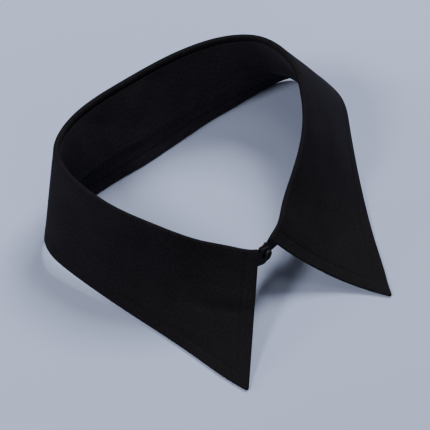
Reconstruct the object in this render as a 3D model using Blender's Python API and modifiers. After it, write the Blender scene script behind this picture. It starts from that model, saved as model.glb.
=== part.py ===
# Detachable shirt collar: a soft leaf that folds over a low inner band, closed in front by one small button.
# The collar stands on the lower edge of its leaf, open side up, its points spread toward the viewer.
# The front of the collar faces the minus Y side, Z points up, and lengths are metres.
import bpy
import bmesh
import numpy as np
from math import cos, sin, pi, sqrt, atan2
from mathutils import Matrix, Vector

MM = 0.001

# Cloth: two layers of cotton with a stiffening layer between them.
LEAF_THICKNESS = 1.1 * MM
BAND_THICKNESS = 1.1 * MM
SEAM_GAP = 0.3 * MM

# The turned top of the leaf, measured on the middle of the cloth.
ROLL_RADIUS = 1.0 * MM
INNER_LEG = 2.8 * MM

# Rounding of the two points of the leaf, and how far its front edges swell forward between top and point.
POINT_ROUND = 2.5 * MM
FRONT_SWELL = 0.6 * MM
FRONT_SWELL_FADES = 20.0 * MM

# The hem is cut level where the leaf falls more steeply than the second share of straight down,
# and square where it falls less steeply than the first.
HEM_SQUARE_BELOW = 0.7
HEM_LEVEL_ABOVE = 0.84

# The ends of the band lap in front, the wearer's right end outside.
TAB_ROUND = 6.0 * MM
TAB_SHORT_OF_LEAF = 1.2 * MM
TAB_UNDER_LEAF = 9.0 * MM
LAP_SETTLE = 16.0 * MM
TAB_RISE = 2.4 * MM
TAB_RISE_START = 0.6 * MM
TAB_RISE_RUN = 1.8 * MM

# The band starts just below the leaf's inner leg, and hangs this far inside the leaf at its lower edge
# where the two lie together. The change to where it hangs freely is rounded over.
BAND_BELOW_LEG = 0.4 * MM
BAND_CLEARANCE = 1.0 * MM
BAND_SOFTNESS = 2.0 * MM
FAR_OUT = 40.0 * MM

# Small sewn button with a raised rim and four holes.
BUTTON_DIAMETER = 5.6 * MM
BUTTON_THICKNESS = 1.5 * MM
BUTTON_EDGE = 0.25 * MM
BUTTON_RIM = 0.7 * MM
BUTTON_DISH = 0.4 * MM
BUTTON_DISH_SLOPE = 0.3 * MM
BUTTON_HOLE = 0.7 * MM
BUTTON_HOLE_SPACING = 1.4 * MM
BUTTON_GAP = 0.3 * MM

# How finely the cloth is divided along the neck and across a section, and the button round its rim.
STEPS_ALONG_LEAF = 126
STEPS_ALONG_BAND = 132
STEPS_POINT = 5
STEPS_TAB = 7
STEPS_ROLL = 7
STEPS_OUTER_LEG = 8
STEPS_BAND = 6
STEPS_LEAF_OUTLINE = 600
STEPS_BUTTON = 40
STEPS_BUTTON_HOLE = 16

# One row for each place along the neck, from the wearer's right front edge round the back to the left one.
# fold: the crest of the turned top. hem: the free lower edge of the leaf below that place, on its outer face,
# and on the surface where its height is below zero.
# bow: how far the cloth between them swells out. drop: how far the band's lower edge lies below its top.
# out: how far outside its top the band's lower edge may stand.
COLUMNS = ("fold_x", "fold_y", "fold_z", "hem_x", "hem_y", "hem_z", "bow", "drop", "out")
STATIONS = (
    (-6.9, -29.6, 25.0, -44.5, -82.2, 0.0, -3.5, 9.6, 0.0),
    (-18.9, -22.8, 28.1, -50.5, -67.6, 0.0, -3.5, 12.5, 2.0),
    (-30.0, -15.5, 31.8, -56.0, -50.2, 0.0, -3.0, 16.0, 4.0),
    (-46.5, 1.0, 37.8, -67.1, -19.4, 0.5, -1.5, 22.0, 6.0),
    (-57.0, 15.0, 41.0, -75.6, 2.3, 2.0, 0.0, 25.0, 8.0),
    (-64.0, 31.0, 42.5, -83.3, 24.4, 4.0, 1.0, 26.0, 9.0),
    (-67.2, 47.8, 43.5, -84.5, 38.8, 4.0, 0.5, 26.5, 9.0),
    (-64.9, 60.1, 43.8, -77.0, 50.3, 2.0, 0.5, 27.0, 5.0),
    (-55.8, 69.4, 44.0, -53.5, 57.6, 0.0, 0.5, 27.0, 0.0),
    (-17.0, 80.0, 44.5, -16.0, 62.8, -0.3, 0.5, 27.5, -2.0),
    (25.0, 81.5, 45.0, 26.0, 70.2, -0.3, 0.5, 28.0, 0.0),
    (46.5, 75.6, 45.0, 45.0, 72.2, -0.3, 0.5, 28.0, 4.0),
    (54.2, 70.1, 44.6, 60.0, 73.8, 0.0, 0.3, 28.0, 6.0),
    (58.8, 62.6, 44.0, 75.6, 71.1, 1.5, 0.5, 28.0, 9.0),
    (60.9, 50.0, 43.0, 85.6, 51.6, 5.0, 1.0, 27.5, 12.0),
    (56.2, 32.3, 41.5, 80.0, 27.3, 5.0, 1.5, 26.0, 12.0),
    (45.5, 13.5, 37.5, 67.7, -1.0, 2.0, 0.0, 23.0, 9.0),
    (28.0, -4.0, 30.5, 54.0, -37.0, 0.0, -3.0, 17.0, 5.0),
    (17.0, -14.0, 26.3, 48.0, -55.0, 0.0, -4.5, 13.5, 2.0),
    (10.7, -20.6, 24.7, 45.1, -62.9, 0.0, -5.0, 11.5, 1.0),
    (2.3, -25.6, 23.0, 42.8, -70.5, 0.0, -5.0, 9.6, 0.0),
)
# The middle of the lapped front, where the button sits, between the last row and the first.
FRONT_MIDDLE = {"fold_x": -2.6, "fold_y": -28.9, "fold_z": 23.8, "drop": 9.5, "out": 0.0}


def column(name):
    index = COLUMNS.index(name)
    return np.array([row[index] for row in STATIONS]) * MM


def spline_slopes(knots, values, closed):
    """Slopes of the smoothest curve through the values."""
    count = len(knots)
    step = np.diff(knots)
    if closed:
        size = count - 1
        table = np.zeros((size, size))
        right = np.zeros(size)
        for i in range(size):
            before = step[i - 1]
            after = step[i]
            table[i, (i - 1) % size] += 1.0 / before
            table[i, i] += 2.0 * (1.0 / before + 1.0 / after)
            table[i, (i + 1) % size] += 1.0 / after
            rise_before = (values[i] - values[(i - 1) % size]) / before ** 2
            rise_after = (values[i + 1] - values[i]) / after ** 2
            right[i] = 3.0 * (rise_before + rise_after)
        slopes = np.linalg.solve(table, right)
        return np.append(slopes, slopes[0])
    table = np.zeros((count, count))
    right = np.zeros(count)
    table[0, 0] = 2.0
    table[0, 1] = 1.0
    right[0] = 3.0 * (values[1] - values[0]) / step[0]
    table[-1, -1] = 2.0
    table[-1, -2] = 1.0
    right[-1] = 3.0 * (values[-1] - values[-2]) / step[-1]
    for i in range(1, count - 1):
        table[i, i - 1] = 1.0 / step[i - 1]
        table[i, i] = 2.0 * (1.0 / step[i - 1] + 1.0 / step[i])
        table[i, i + 1] = 1.0 / step[i]
        rise_before = (values[i] - values[i - 1]) / step[i - 1] ** 2
        rise_after = (values[i + 1] - values[i]) / step[i] ** 2
        right[i] = 3.0 * (rise_before + rise_after)
    return np.linalg.solve(table, right)


def spline(knots, values, slopes, places):
    """Values of a curve at the given places."""
    places = np.asarray(places, float)
    cell = np.clip(np.searchsorted(knots, places, side="right") - 1, 0, len(knots) - 2)
    width = knots[cell + 1] - knots[cell]
    share = (places - knots[cell]) / width
    a = values[cell]
    b = values[cell + 1]
    slope_a = slopes[cell] * width
    slope_b = slopes[cell + 1] * width
    cube = 2.0 * (a - b) + slope_a + slope_b
    square = 3.0 * (b - a) - 2.0 * slope_a - slope_b
    return ((cube * share + square) * share + slope_a) * share + a


# The neck line as one closed curve: the rows of the table and the middle of the front.
LOOP = {}
for name in ("fold_x", "fold_y", "fold_z", "drop", "out"):
    values = column(name)
    LOOP[name] = np.concatenate([values, [FRONT_MIDDLE[name] * MM], values[:1]])
LOOP_KNOTS = np.concatenate([[0.0], np.cumsum(np.hypot(np.diff(LOOP["fold_x"]), np.diff(LOOP["fold_y"])))])
LOOP_SLOPES = {name: spline_slopes(LOOP_KNOTS, values, True) for name, values in LOOP.items()}
NECK_LENGTH = LOOP_KNOTS[-1]
LEAF_END = LOOP_KNOTS[len(STATIONS) - 1]
MIDDLE = LOOP_KNOTS[len(STATIONS)]
HEM_KNOTS = LOOP_KNOTS[:len(STATIONS)]
HEM = {name: column(name) for name in ("hem_x", "hem_y", "hem_z", "bow")}
HEM_SLOPES = {name: spline_slopes(HEM_KNOTS, values, False) for name, values in HEM.items()}


def around(name, places):
    """A column of the neck line at places along it, the same after each full turn."""
    return spline(LOOP_KNOTS, LOOP[name], LOOP_SLOPES[name], np.mod(places, NECK_LENGTH))


def below(name, places):
    """A column of the leaf's free edge at places along the neck line."""
    return spline(HEM_KNOTS, HEM[name], HEM_SLOPES[name], places)


def outward(places):
    """Level directions that point away from the neck."""
    step = 0.2 * MM
    across = np.array([around("fold_x", places + step) - around("fold_x", places - step),
                       around("fold_y", places + step) - around("fold_y", places - step)])
    across = across / np.hypot(across[0], across[1])
    return np.column_stack([-across[1], across[0], np.zeros(len(across[0]))])


def crowded_ends(first, last, count, end_zone, end_steps):
    """Places from first to last, closer together in a zone at both ends."""
    turn = 0.5 * pi * np.arange(end_steps) / end_steps
    start = first + end_zone * (1.0 - np.cos(turn))
    middle = np.linspace(first + end_zone, last - end_zone, count - 2 * end_steps)
    finish = last - end_zone * (1.0 - np.cos(turn))
    return np.concatenate([start, middle, finish[::-1]])


def corner_pull(places, first, last, radius):
    """How far a rounded corner draws the free edge back at each place."""
    near = np.minimum(places - first, last - places)
    inside = np.clip(1.0 - near / radius, 0.0, 1.0)
    return radius * (1.0 - np.sqrt(1.0 - inside ** 2))


def closed_wall(name, outer, inner):
    """A closed body from two matching skins of points, joined along their four edges."""
    count, across = outer.shape[:2]
    mesh = bmesh.new()
    skins = [[[mesh.verts.new(point) for point in row] for row in skin] for skin in (outer, inner)]
    for i in range(count - 1):
        for j in range(across - 1):
            for skin, order in zip(skins, ((0, 1, 2, 3), (3, 2, 1, 0))):
                ring = (skin[i][j], skin[i + 1][j], skin[i + 1][j + 1], skin[i][j + 1])
                mesh.faces.new([ring[k] for k in order])
    for i in range(count - 1):
        for j in (0, across - 1):
            mesh.faces.new((skins[0][i][j], skins[0][i + 1][j], skins[1][i + 1][j], skins[1][i][j]))
    for j in range(across - 1):
        for i in (0, count - 1):
            mesh.faces.new((skins[0][i][j], skins[0][i][j + 1], skins[1][i][j + 1], skins[1][i][j]))
    bmesh.ops.recalc_face_normals(mesh, faces=mesh.faces)
    data = bpy.data.meshes.new(name)
    mesh.to_mesh(data)
    mesh.free()
    return data


def surface_normals(grid):
    """Unit normals of a grid of points, facing the side that its outer skin takes."""
    along = np.gradient(grid, axis=0)
    across = np.gradient(grid, axis=1)
    normal = np.cross(along, across)
    return normal / np.linalg.norm(normal, axis=2)[:, :, None]


def softer_of(one, other, width):
    """The smaller of two runs of values, with the change from one to the other rounded over."""
    return 0.5 * (one + other - np.sqrt((one - other) ** 2 + width ** 2))


def unit(vectors):
    return vectors / np.linalg.norm(vectors, axis=-1)[..., None]


def softened(share):
    """A share from 0 to 1 that starts and ends gently."""
    share = np.clip(share, 0.0, 1.0)
    return share ** 2 * (3.0 - 2.0 * share)


def hem_rest(places, fold):
    """Where the middle of the cloth ends, so that the square-cut hem stands on the surface at the hem line."""
    half = 0.5 * LEAF_THICKNESS
    hem = np.column_stack([below("hem_x", places), below("hem_y", places),
                           np.maximum(below("hem_z", places), 0.0)])
    ahead = np.clip(places + 0.5 * MM, 0.0, LEAF_END)
    behind = np.clip(places - 0.5 * MM, 0.0, LEAF_END)
    along = unit(np.column_stack([below("hem_x", ahead) - below("hem_x", behind),
                                  below("hem_y", ahead) - below("hem_y", behind), np.zeros(len(places))]))
    aside = np.column_stack([-along[:, 1], along[:, 0], np.zeros(len(places))])
    reach = hem - fold
    level = np.sum(reach * aside, axis=1)
    slope = np.arctan2(-reach[:, 2], level) + np.arctan(4.0 * below("bow", places) / np.linalg.norm(reach, axis=1))
    slope = np.clip(slope, 0.0, pi)[:, None]
    return hem - half * np.sin(slope) * aside + half * np.abs(np.cos(slope)) * np.array([0.0, 0.0, 1.0])


def leaf_middle(places, rounding):
    """The middle of the leaf's cloth: inner leg, roll over the top, long outer leg down to the hem."""
    out = outward(places)
    up = np.array([0.0, 0.0, 1.0])
    fold = np.column_stack([around("fold_x", places), around("fold_y", places), around("fold_z", places)])
    centre = fold - (ROLL_RADIUS + 0.5 * LEAF_THICKNESS) * up
    rest = hem_rest(places, fold)
    bows = below("bow", places)
    ahead = np.cross(out, up)
    swell = (softened(1.0 - (LEAF_END - places) / FRONT_SWELL_FADES)
             - softened(1.0 - places / FRONT_SWELL_FADES)) * FRONT_SWELL
    rows = []
    for i in range(len(places)):
        reach = rest[i] - centre[i]
        fall = atan2(-reach[2], reach @ out[i])
        distance = sqrt(reach[2] ** 2 + (reach @ out[i]) ** 2)
        leave = 0.5 * pi - fall + np.arctan(4.0 * bows[i] / distance) + np.arcsin(min(ROLL_RADIUS / distance, 1.0))
        tilt = atan2(max(-(reach @ out[i]), 0.0), -reach[2])
        enter = pi - tilt
        down = -sin(tilt) * out[i] - cos(tilt) * up
        turned = centre[i] + ROLL_RADIUS * (cos(enter) * out[i] + sin(enter) * up)
        inner_leg = (INNER_LEG - ROLL_RADIUS - 0.5 * LEAF_THICKNESS) * down
        row = [turned + share * inner_leg for share in (1.0, 0.5)]
        for k in range(STEPS_ROLL):
            angle = enter + (leave - enter) * k / (STEPS_ROLL - 1)
            row.append(centre[i] + ROLL_RADIUS * (cos(angle) * out[i] + sin(angle) * up))
        start = row[-1]
        run = centre[i] + reach - start
        side = unit(np.cross(run, np.cross(out[i], up)))
        side = side if side @ (out[i] + up) > 0 else -side
        pull = rounding * corner_pull(places[i:i + 1], 0.0, LEAF_END, POINT_ROUND)[0]
        length = np.linalg.norm(run)
        for k in range(1, STEPS_OUTER_LEG + 1):
            share = k / STEPS_OUTER_LEG
            share = share * (1.0 - pull / length)
            arch = 4.0 * share * (1.0 - share)
            row.append(start + share * run + arch * (bows[i] * side + swell[i] * ahead[i]))
        rows.append(row)
    return np.array(rows)


def cut_level(skin, height, share):
    """Draws the last row of a face along the cloth to the stated height, in part where the share is below 1."""
    along = unit(skin[:, -1] - skin[:, -2])
    reach = (height - skin[:, -1, 2]) / np.minimum(along[:, 2], -0.5)
    skin[:, -1] += (share * reach)[:, None] * along


def leaf_skins():
    """Both faces of the leaf. Its front edges are cut square, and its hem level where the leaf is steep."""
    places = crowded_ends(0.0, LEAF_END, STEPS_ALONG_LEAF, POINT_ROUND, STEPS_POINT)
    middle = leaf_middle(places, 1.0)
    normal = surface_normals(leaf_middle(places, 0.0))
    half = 0.5 * LEAF_THICKNESS
    outer = middle + half * normal
    inner = middle - half * normal
    steepness = -unit(middle[:, -1] - middle[:, -2])[:, 2]
    share = softened((steepness - HEM_SQUARE_BELOW) / (HEM_LEVEL_ABOVE - HEM_SQUARE_BELOW))
    height = np.maximum(below("hem_z", places), 0.0)
    for skin in (outer, inner):
        cut_level(skin, height, share)
        skin[:, :, 2] = np.maximum(skin[:, :, 2], 0.0)
    return outer, inner


LEAF_PLACES = np.linspace(0.0, LEAF_END, STEPS_LEAF_OUTLINE)
LEAF_FOLD = np.column_stack([around("fold_x", LEAF_PLACES), around("fold_y", LEAF_PLACES),
                             around("fold_z", LEAF_PLACES) - ROLL_RADIUS - 0.5 * LEAF_THICKNESS])
LEAF_HEM = np.column_stack([below("hem_x", LEAF_PLACES), below("hem_y", LEAF_PLACES),
                            np.maximum(below("hem_z", LEAF_PLACES), 0.0)])


def leaf_beside(place, fold, out, height):
    """How far outside the neck line the leaf hangs at one height, measured straight out from one place."""
    share = np.clip((LEAF_FOLD[:, 2] - height) / (LEAF_FOLD[:, 2] - LEAF_HEM[:, 2]), 0.0, 1.0)
    gap = (LEAF_FOLD + share[:, None] * (LEAF_HEM - LEAF_FOLD) - fold)[:, :2]
    along = gap[:, 0] * out[1] - gap[:, 1] * out[0]
    across = gap @ out[:2]
    found = [FAR_OUT]
    for i in np.nonzero(along[:-1] * along[1:] <= 0.0)[0]:
        share = along[i] / (along[i] - along[i + 1] + 1e-12)
        distance = across[i] + share * (across[i + 1] - across[i])
        if abs(distance) < FAR_OUT:
            found.append(distance)
    return min(found)


def band_skins():
    """Both faces of the band, its ends lapped in front and rounded."""
    first = LEAF_END + TAB_SHORT_OF_LEAF
    last = 2.0 * NECK_LENGTH + TAB_UNDER_LEAF
    places = crowded_ends(first, last, STEPS_ALONG_BAND, TAB_ROUND, STEPS_TAB)
    rises = [leaf_end + sign * (TAB_RISE_START + share * TAB_RISE_RUN)
             for leaf_end, sign in ((NECK_LENGTH, -1.0), (NECK_LENGTH + LEAF_END, 1.0), (2.0 * NECK_LENGTH, -1.0))
             for share in (0.0, 0.25, 0.5, 0.75, 1.0)]
    places = np.sort(np.concatenate([places, rises]))
    out = outward(places)
    up = np.array([0.0, 0.0, 1.0])
    fold = np.column_stack([around("fold_x", places), around("fold_y", places), around("fold_z", places)])
    apart = 0.5 * (BAND_THICKNESS + SEAM_GAP)
    from_start = places - first
    from_end = last - places
    lap = last - NECK_LENGTH - first
    settle_start = np.clip((from_start - lap) / LAP_SETTLE, 0.0, 1.0)
    settle_end = np.clip((from_end - lap) / LAP_SETTLE, 0.0, 1.0)
    ease_start = 1.0 - settle_start ** 2 * (3.0 - 2.0 * settle_start)
    ease_end = 1.0 - settle_end ** 2 * (3.0 - 2.0 * settle_end)
    aside = apart * (ease_start - ease_end)
    top = fold[:, 2] - INNER_LEG - BAND_BELOW_LEG
    bottom = top - around("drop", places)
    widest = around("out", places)
    round_neck = np.mod(places, NECK_LENGTH)
    past_leaf = np.minimum(round_neck - LEAF_END, NECK_LENGTH - round_neck)
    lift = np.clip((past_leaf - TAB_RISE_START) / TAB_RISE_RUN, 0.0, 1.0)
    top = top + TAB_RISE * lift ** 2 * (3.0 - 2.0 * lift)
    near = np.minimum(from_start, from_end)
    inside = np.clip(1.0 - near / TAB_ROUND, 0.0, 1.0)
    keep = np.sqrt(np.clip(1.0 - inside ** 2, 0.02, 1.0))
    middle_height = 0.5 * (top + bottom)
    half_height = 0.5 * (top - bottom) * keep
    rows = []
    for i in range(len(places)):
        base = fold[i] * (1.0, 1.0, 0.0) + (aside[i] - ROLL_RADIUS) * out[i]
        row = []
        for k in range(STEPS_BAND + 1):
            share = k / STEPS_BAND
            height = middle_height[i] + half_height[i] * (1.0 - 2.0 * share)
            fallen = (top[i] - height) / (top[i] - bottom[i])
            beside = leaf_beside(places[i], fold[i], out[i], height)
            lean = softer_of(widest[i] * fallen, beside - BAND_CLEARANCE * fallen, BAND_SOFTNESS * fallen)
            row.append(base + lean * out[i] + height * up)
        rows.append(row)
    middle = np.array(rows)
    normal = surface_normals(middle)
    return middle + 0.5 * BAND_THICKNESS * normal, middle - 0.5 * BAND_THICKNESS * normal


def profile_mesh(name, profile):
    """An open line of points in the XZ plane, to be turned about Z."""
    mesh = bmesh.new()
    line = [mesh.verts.new((radius, 0.0, height)) for radius, height in profile]
    for above, under in zip(line, line[1:]):
        mesh.edges.new((above, under))
    data = bpy.data.meshes.new(name)
    mesh.to_mesh(data)
    mesh.free()
    return data


def button_profile():
    """Half a section of the button, from the middle of its dished face round the rim to its back."""
    rim = 0.5 * BUTTON_DIAMETER
    dish = rim - BUTTON_RIM
    floor = BUTTON_THICKNESS - BUTTON_DISH
    return ((0.0, floor), (dish - BUTTON_DISH_SLOPE, floor), (dish, BUTTON_THICKNESS),
            (rim - BUTTON_EDGE, BUTTON_THICKNESS), (rim, BUTTON_THICKNESS - BUTTON_EDGE),
            (rim, BUTTON_EDGE), (rim - BUTTON_EDGE, 0.0), (0.0, 0.0))


def hole_mesh(name, x, y):
    mesh = bmesh.new()
    bmesh.ops.create_cone(mesh, cap_ends=True, segments=STEPS_BUTTON_HOLE, radius1=0.5 * BUTTON_HOLE,
                          radius2=0.5 * BUTTON_HOLE, depth=4.0 * BUTTON_THICKNESS)
    bmesh.ops.translate(mesh, verts=mesh.verts, vec=(x, y, 0.0))
    data = bpy.data.meshes.new(name)
    mesh.to_mesh(data)
    mesh.free()
    return data


def plain_material(name, colour, roughness):
    material = bpy.data.materials.new(name)
    material.use_nodes = True
    shader = material.node_tree.nodes["Principled BSDF"]
    shader.inputs["Base Color"].default_value = (*colour, 1.0)
    shader.inputs["Roughness"].default_value = roughness
    shader.inputs["Metallic"].default_value = 0.0
    return material


def place(data, material, collection):
    item = bpy.data.objects.new(data.name, data)
    item.data.materials.append(material)
    for face in item.data.polygons:
        face.use_smooth = True
    collection.objects.link(item)
    return item


for old in list(bpy.data.objects):
    bpy.data.objects.remove(old, do_unlink=True)
collar = bpy.data.collections.new("detachable_shirt_collar")
cutters = bpy.data.collections.new("cutters")
bpy.context.scene.collection.children.link(collar)
bpy.context.scene.collection.children.link(cutters)

leaf_material = plain_material("leaf_cotton", (0.012, 0.012, 0.016), 0.85)
band_material = plain_material("band_cotton", (0.012, 0.012, 0.015), 0.85)
button_material = plain_material("button_plastic", (0.01, 0.01, 0.011), 0.3)
leaf = place(closed_wall("leaf", *leaf_skins()), leaf_material, collar)
band = place(closed_wall("band", *band_skins()), band_material, collar)

# The button is sewn to the outer end of the band, in the middle of the front, and faces straight out.
button = place(profile_mesh("button", button_profile()), button_material, collar)
turn = button.modifiers.new("turn", "SCREW")
turn.steps = STEPS_BUTTON
turn.render_steps = STEPS_BUTTON
turn.use_merge_vertices = True
turn.merge_threshold = 0.00001
for side_x in (-0.5, 0.5):
    for side_y in (-0.5, 0.5):
        data = hole_mesh("button_hole_cutter", side_x * BUTTON_HOLE_SPACING, side_y * BUTTON_HOLE_SPACING)
        cutter = bpy.data.objects.new(data.name, data)
        cutter.hide_render = True
        cutter.display_type = "WIRE"
        cutters.objects.link(cutter)
        cutter.parent = button
        cut = button.modifiers.new("hole", "BOOLEAN")
        cut.operation = "DIFFERENCE"
        cut.solver = "EXACT"
        cut.object = cutter
front = np.array([MIDDLE])
facing = Vector(outward(front)[0])
sewn = Vector((around("fold_x", front)[0], around("fold_y", front)[0], around("fold_z", front)[0]))
sewn.z -= INNER_LEG + BAND_BELOW_LEG + 0.5 * around("drop", front)[0] - TAB_RISE
sewn += facing * (0.5 * (BAND_THICKNESS + SEAM_GAP) - ROLL_RADIUS + 0.5 * BAND_THICKNESS + BUTTON_GAP)
turned = facing.to_track_quat("Z", "Y").to_matrix().to_4x4()
button.matrix_world = Matrix.Translation(sewn) @ turned

# The collar is centred over the origin and stands on the floor.
corners = np.array([vertex.co for item in (leaf, band) for vertex in item.data.vertices])
low = corners.min(axis=0)
high = corners.max(axis=0)
shift = Vector((-0.5 * (low[0] + high[0]), -0.5 * (low[1] + high[1]), -low[2]))
for item in (leaf, band):
    item.data.transform(Matrix.Translation(shift))
button.matrix_world = Matrix.Translation(shift) @ button.matrix_world
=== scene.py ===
from math import cos, pi, radians, sin

import bmesh
import bpy
import numpy as np
from mathutils import Matrix, Vector


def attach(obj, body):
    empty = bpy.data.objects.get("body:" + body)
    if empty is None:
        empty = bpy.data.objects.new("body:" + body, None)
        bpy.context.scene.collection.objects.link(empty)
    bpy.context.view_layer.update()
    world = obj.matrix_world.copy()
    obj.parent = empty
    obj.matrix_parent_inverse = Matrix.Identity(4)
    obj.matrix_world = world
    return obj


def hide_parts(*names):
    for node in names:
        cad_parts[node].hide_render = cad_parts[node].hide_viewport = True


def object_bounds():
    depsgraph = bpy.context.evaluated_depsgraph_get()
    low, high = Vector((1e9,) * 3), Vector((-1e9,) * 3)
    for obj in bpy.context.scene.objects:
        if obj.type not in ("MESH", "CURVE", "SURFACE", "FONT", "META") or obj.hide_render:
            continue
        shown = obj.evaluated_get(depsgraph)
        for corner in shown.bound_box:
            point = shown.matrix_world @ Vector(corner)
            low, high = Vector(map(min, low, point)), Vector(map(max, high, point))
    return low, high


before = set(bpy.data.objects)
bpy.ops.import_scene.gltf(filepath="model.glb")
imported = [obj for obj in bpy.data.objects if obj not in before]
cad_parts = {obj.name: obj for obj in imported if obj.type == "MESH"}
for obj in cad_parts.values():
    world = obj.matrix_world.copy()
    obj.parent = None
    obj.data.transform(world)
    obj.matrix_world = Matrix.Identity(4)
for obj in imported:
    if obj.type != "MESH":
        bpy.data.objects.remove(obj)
cad_low, cad_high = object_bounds()

# Leaf: the turned-down outer piece, two layers of black cotton shirting round a stiff interlining.
# It is sewn inside out along its front and lower edges, turned, pressed and topstitched inside those edges.
# Its upper edge is turned over the top of the band, and the whole leaf stands on its lower edge.
MM = 0.001
LEAF_THICKNESS = 1.1 * MM
ROLL_RADIUS = 1.0 * MM
INNER_LEG = 2.8 * MM
POINT_ROUND = 2.5 * MM
FRONT_SWELL = 0.6 * MM
FRONT_SWELL_FADES = 20.0 * MM
TOPSTITCH_IN = 6.2 * MM
STITCH_LENGTH = 2.5 * MM
CHANNEL_DEPTH = 0.16 * MM
CHANNEL_WIDTH = 0.75 * MM
SEAM_ALLOWANCE_RISE = 0.1 * MM
STITCH_CHANNEL_WAVE = 0.3
CREASE_FADE_AT_HEM = 12.0 * MM
CREASE_FADE_AT_ROLL = 8.0
LEAF_WAVES = {"seed": 4, "length": 34.0 * MM, "height": 0.10 * MM}

# The neck line from the wearer's right front edge round the back to the left one, in millimetres.
# fold: the crest of the turned top. hem: the free lower edge of the leaf below that place, on its outer
# face, and on the surface where its height is below zero.
# bow: how far the cloth between them swells out. drop: how far the band's lower edge lies below its top.
# out: how far outside its top the band's lower edge may stand.
COLUMNS = ("fold_x", "fold_y", "fold_z", "hem_x", "hem_y", "hem_z", "bow", "drop", "out")
STATIONS = (
    (-6.9, -29.6, 25.0, -44.5, -82.2, 0.0, -3.5, 9.6, 0.0),
    (-18.9, -22.8, 28.1, -50.5, -67.6, 0.0, -3.5, 12.5, 2.0),
    (-30.0, -15.5, 31.8, -56.0, -50.2, 0.0, -3.0, 16.0, 4.0),
    (-46.5, 1.0, 37.8, -67.1, -19.4, 0.5, -1.5, 22.0, 6.0),
    (-57.0, 15.0, 41.0, -75.6, 2.3, 2.0, 0.0, 25.0, 8.0),
    (-64.0, 31.0, 42.5, -83.3, 24.4, 4.0, 1.0, 26.0, 9.0),
    (-67.2, 47.8, 43.5, -84.5, 38.8, 4.0, 0.5, 26.5, 9.0),
    (-64.9, 60.1, 43.8, -77.0, 50.3, 2.0, 0.5, 27.0, 5.0),
    (-55.8, 69.4, 44.0, -53.5, 57.6, 0.0, 0.5, 27.0, 0.0),
    (-17.0, 80.0, 44.5, -16.0, 62.8, -0.3, 0.5, 27.5, -2.0),
    (25.0, 81.5, 45.0, 26.0, 70.2, -0.3, 0.5, 28.0, 0.0),
    (46.5, 75.6, 45.0, 45.0, 72.2, -0.3, 0.5, 28.0, 4.0),
    (54.2, 70.1, 44.6, 60.0, 73.8, 0.0, 0.3, 28.0, 6.0),
    (58.8, 62.6, 44.0, 75.6, 71.1, 1.5, 0.5, 28.0, 9.0),
    (60.9, 50.0, 43.0, 85.6, 51.6, 5.0, 1.0, 27.5, 12.0),
    (56.2, 32.3, 41.5, 80.0, 27.3, 5.0, 1.5, 26.0, 12.0),
    (45.5, 13.5, 37.5, 67.7, -1.0, 2.0, 0.0, 23.0, 9.0),
    (28.0, -4.0, 30.5, 54.0, -37.0, 0.0, -3.0, 17.0, 5.0),
    (17.0, -14.0, 26.3, 48.0, -55.0, 0.0, -4.5, 13.5, 2.0),
    (10.7, -20.6, 24.7, 45.1, -62.9, 0.0, -5.0, 11.5, 1.0),
    (2.3, -25.6, 23.0, 42.8, -70.5, 0.0, -5.0, 9.6, 0.0),
)
# The middle of the lapped front, where the button sits, between the last row and the first.
FRONT_MIDDLE = {"fold_x": -2.6, "fold_y": -28.9, "fold_z": 23.8, "drop": 9.5, "out": 0.0}


def column(name):
    index = COLUMNS.index(name)
    return np.array([row[index] for row in STATIONS]) * MM


def spline_slopes(knots, values, closed):
    """Slopes of the smoothest curve through the values."""
    count = len(knots)
    step = np.diff(knots)
    if closed:
        size = count - 1
        table = np.zeros((size, size))
        right = np.zeros(size)
        for i in range(size):
            before = step[i - 1]
            after = step[i]
            table[i, (i - 1) % size] += 1.0 / before
            table[i, i] += 2.0 * (1.0 / before + 1.0 / after)
            table[i, (i + 1) % size] += 1.0 / after
            rise_before = (values[i] - values[(i - 1) % size]) / before ** 2
            rise_after = (values[i + 1] - values[i]) / after ** 2
            right[i] = 3.0 * (rise_before + rise_after)
        slopes = np.linalg.solve(table, right)
        return np.append(slopes, slopes[0])
    table = np.zeros((count, count))
    right = np.zeros(count)
    table[0, :2] = (2.0, 1.0)
    right[0] = 3.0 * (values[1] - values[0]) / step[0]
    table[-1, -2:] = (1.0, 2.0)
    right[-1] = 3.0 * (values[-1] - values[-2]) / step[-1]
    for i in range(1, count - 1):
        table[i, i - 1] = 1.0 / step[i - 1]
        table[i, i] = 2.0 * (1.0 / step[i - 1] + 1.0 / step[i])
        table[i, i + 1] = 1.0 / step[i]
        rise_before = (values[i] - values[i - 1]) / step[i - 1] ** 2
        rise_after = (values[i + 1] - values[i]) / step[i] ** 2
        right[i] = 3.0 * (rise_before + rise_after)
    return np.linalg.solve(table, right)


def spline(knots, values, slopes, places):
    """Values of a curve at the given places."""
    places = np.asarray(places, float)
    cell = np.clip(np.searchsorted(knots, places, side="right") - 1, 0, len(knots) - 2)
    width = knots[cell + 1] - knots[cell]
    share = (places - knots[cell]) / width
    a = values[cell]
    b = values[cell + 1]
    slope_a = slopes[cell] * width
    slope_b = slopes[cell + 1] * width
    cube = 2.0 * (a - b) + slope_a + slope_b
    square = 3.0 * (b - a) - 2.0 * slope_a - slope_b
    return ((cube * share + square) * share + slope_a) * share + a


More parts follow.
